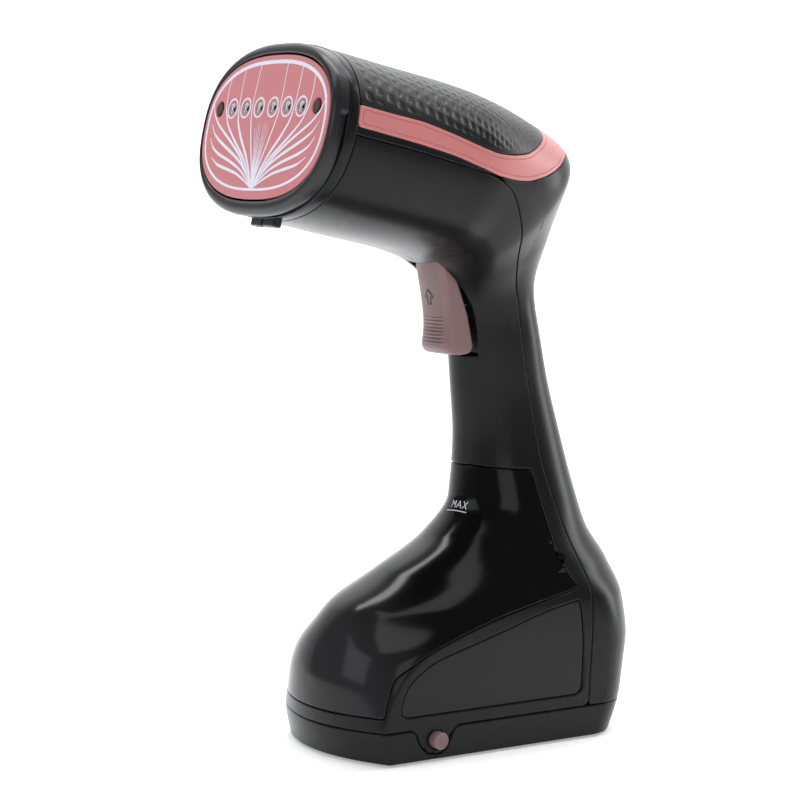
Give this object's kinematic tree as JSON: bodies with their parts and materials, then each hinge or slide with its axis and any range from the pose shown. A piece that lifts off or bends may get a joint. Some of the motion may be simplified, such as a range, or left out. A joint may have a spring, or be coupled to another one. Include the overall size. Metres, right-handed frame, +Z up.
{
  "type": "garment steamer",
  "caption": "Handheld garment steamer standing on its base, with a tilted steam head, slide-out water tank, sprung trigger and tank release buttons.",
  "frame": {"origin": "on the floor under the middle of the steamer's width and depth", "axes": "+Z up, -Y forwards (the way the steam head faces), +X to the right as seen from the front, mirrored about X = 0"},
  "size_m": [0.1154, 0.1958, 0.3212],
  "materials": {
    "black_shell": "satin gloss black moulding",
    "dotted_black": "black moulding with small pressed dimples",
    "pink_plastic": "satin rosy pink moulding",
    "matte_panel": "fine matt black",
    "black_rubber": "matt",
    "screw_steel": "zinc plated",
    "smoked_tank": "clear smoked, high gloss",
    "silicone": "soft translucent",
    "inner_plastic": "plain white moulding",
    "pink_plate": "coated, satin, with a white printed fan",
    "nozzle_metal": "turned",
    "slate_bezel": "satin dark slate",
    "spring_steel": "bright wire",
    "cast_aluminium": "as cast",
    "mauve_trigger": "satin mauve moulding",
    "board_green": "printed board with components"
  },
  "bodies": {
    "housing": {"front_shell": "black_shell", "rear_shell": "black_shell", "top_cover": "dotted_black", "pink_band": "pink_plastic", "side_panel_left": "matte_panel", "side_panel_right": "matte_panel", "cord_gland": "black_rubber", "base_tray": "black_shell", "feet": "black_rubber", "tray_screws": "screw_steel", "housing_screws": "screw_steel", "valve_socket": "inner_plastic", "face_plate": "pink_plate", "steam_nozzles": "nozzle_metal", "plate_screws": "screw_steel", "bezel": "slate_bezel", "head_ring": "black_shell", "latch_spring": "spring_steel", "heater_block": "cast_aluminium", "heating_element": "screw_steel", "steam_gasket": "silicone", "thermostat": "screw_steel", "thermal_fuse": "inner_plastic", "trigger_pin": "spring_steel", "trigger_spring": "spring_steel", "microswitch": "inner_plastic", "button_spring_left": "spring_steel", "button_spring_right": "spring_steel", "water_pump": "inner_plastic", "control_board": "board_green", "outlet_hose": "silicone", "inlet_hose": "silicone", "heater_leads": "silicone"},
    "trigger_body": {"trigger": "mauve_trigger"},
    "tank_body": {"tank": "smoked_tank", "filler_plug": "black_shell", "filler_seal": "silicone", "tank_valve": "inner_plastic"},
    "button_left_body": {"release_button_left": "mauve_trigger"},
    "button_right_body": {"release_button_right": "mauve_trigger"},
    "latch_body": {"accessory_latch": "slate_bezel"}
  },
  "joints": [
    {"name": "trigger_pull", "type": "hinge", "parent": "housing", "child": "trigger_body", "pos_m": [0, 0, 0.23], "axis": [1, 0, 0], "range_deg": [0, 6], "stiffness_Nm_per_rad": 0.25, "springref_deg": -20.05, "deforming": ["trigger_spring"]},
    {"name": "tank_slide", "type": "slide", "parent": "housing", "child": "tank_body", "axis": [0, -1, 0], "range_m": [0, 0.09]},
    {"name": "release_press_left", "type": "slide", "parent": "housing", "child": "button_left_body", "axis": [1, 0, 0], "range_m": [0, 0.0025], "stiffness_N_per_m": 800, "springref_m": -0.002, "deforming": ["button_spring_left"]},
    {"name": "release_press_right", "type": "slide", "parent": "housing", "child": "button_right_body", "axis": [-1, 0, 0], "range_m": [0, 0.0025], "stiffness_N_per_m": 800, "springref_m": -0.002, "deforming": ["button_spring_right"]},
    {"name": "latch_press", "type": "slide", "parent": "housing", "child": "latch_body", "axis": [0, 0.225, 0.9744], "range_m": [0, 0.002], "stiffness_N_per_m": 600, "springref_m": -0.002, "deforming": ["latch_spring"]}
  ]
}
